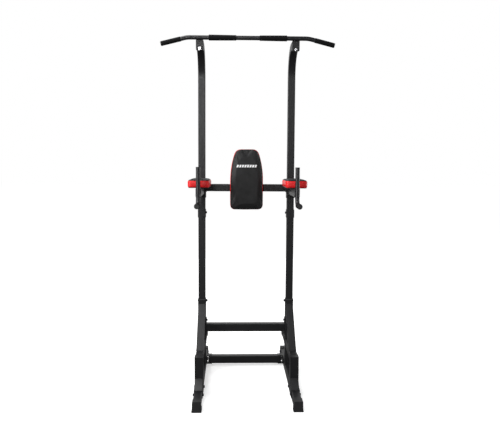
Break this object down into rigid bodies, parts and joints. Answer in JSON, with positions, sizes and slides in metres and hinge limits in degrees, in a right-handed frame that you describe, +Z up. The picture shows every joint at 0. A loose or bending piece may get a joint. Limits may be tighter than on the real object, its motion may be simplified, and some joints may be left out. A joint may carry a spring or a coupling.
{
  "type": "power tower",
  "caption": "Free-standing power tower with padded arms, backrest, dip handles and pull-up bar on a height-adjustable tower.",
  "frame": {"origin": "on the floor, at the middle of the footprint", "axes": "+Z up, -Y towards the side the user stands on, +X across to the right seen from the front"},
  "size_m": [1.0062, 0.99, 2.0806],
  "materials": {
    "frame_paint": "satin black powder coat",
    "tube_paint": "satin black powder coat",
    "cap_plastic": "moulded",
    "bush_plastic": "moulded",
    "grip_rubber": "matte",
    "black_fastener": "black oxide",
    "zinc_fastener": "bright zinc",
    "bare_steel": "mill",
    "board_wood": "black-stained plywood",
    "pad_black": "grained vinyl",
    "pad_red": "smooth vinyl",
    "print_pale": "printed ink",
    "thread": "sewing thread"
  },
  "bodies": {
    "base": {"floor_tube_left": "frame_paint", "floor_tube_right": "frame_paint", "foot_caps_front": "cap_plastic", "foot_caps_rear": "cap_plastic", "foot_cap_screws": "black_fastener", "main_post_left": "frame_paint", "main_post_right": "frame_paint", "front_post_left": "frame_paint", "front_post_right": "frame_paint", "front_post_tops": "frame_paint", "front_rails": "frame_paint", "rear_rails": "frame_paint", "rail_caps": "cap_plastic", "braces": "frame_paint", "post_shoes": "frame_paint", "shoe_fasteners": "black_fastener", "front_crossbar": "frame_paint", "front_crossbar_plates": "frame_paint", "front_crossbar_bolts": "black_fastener", "rear_crossbar": "frame_paint", "rear_crossbar_brackets": "frame_paint", "rear_crossbar_fasteners": "black_fastener", "sleeve_bushes": "bush_plastic", "bush_screws": "black_fastener", "lock_nuts": "black_fastener"},
    "tower": {"lower_upright_left": "frame_paint", "lower_upright_right": "frame_paint", "coupling_collars": "frame_paint", "upper_upright_left": "frame_paint", "upper_upright_right": "frame_paint", "arm_crossbar": "frame_paint", "arm_crossbar_plates": "frame_paint", "arm_bracket_left": "frame_paint", "arm_bracket_right": "frame_paint", "arm_tube_left": "frame_paint", "arm_tube_right": "frame_paint", "backrest_bracket": "frame_paint", "bar_brackets": "frame_paint", "handle_left": "tube_paint", "handle_right": "tube_paint", "pull_up_bar": "tube_paint", "handle_plugs": "cap_plastic", "bar_plugs": "cap_plastic", "dip_grips": "grip_rubber", "centre_grips": "grip_rubber", "end_grips": "grip_rubber", "coupling_bolts": "black_fastener", "arm_fasteners": "black_fastener", "backrest_screws": "black_fastener", "arm_pad_screws": "black_fastener", "bar_bolts": "zinc_fastener", "coupling_inserts": "bare_steel", "arm_boards": "board_wood", "backrest_board": "board_wood", "arm_pad_left": "pad_black", "arm_pad_right": "pad_black", "backrest_pad": "pad_black"},
    "lock_screw_left": {"lock_screw_left": "black_fastener"},
    "lock_screw_right": {"lock_screw_right": "black_fastener"}
  },
  "joints": [
    {"name": "tower_height", "type": "slide", "parent": "base", "child": "tower", "axis": [0, 0, 1], "range_m": [-0.1, 0.15]},
    {"name": "lock_turn_left", "type": "hinge", "parent": "base", "child": "lock_screw_left", "pos_m": [-0.253, 0.125, 0.474], "axis": [1, 0, 0], "continuous": true},
    {"name": "lock_turn_right", "type": "hinge", "parent": "base", "child": "lock_screw_right", "pos_m": [0.253, 0.125, 0.474], "axis": [-1, 0, 0], "continuous": true}
  ]
}
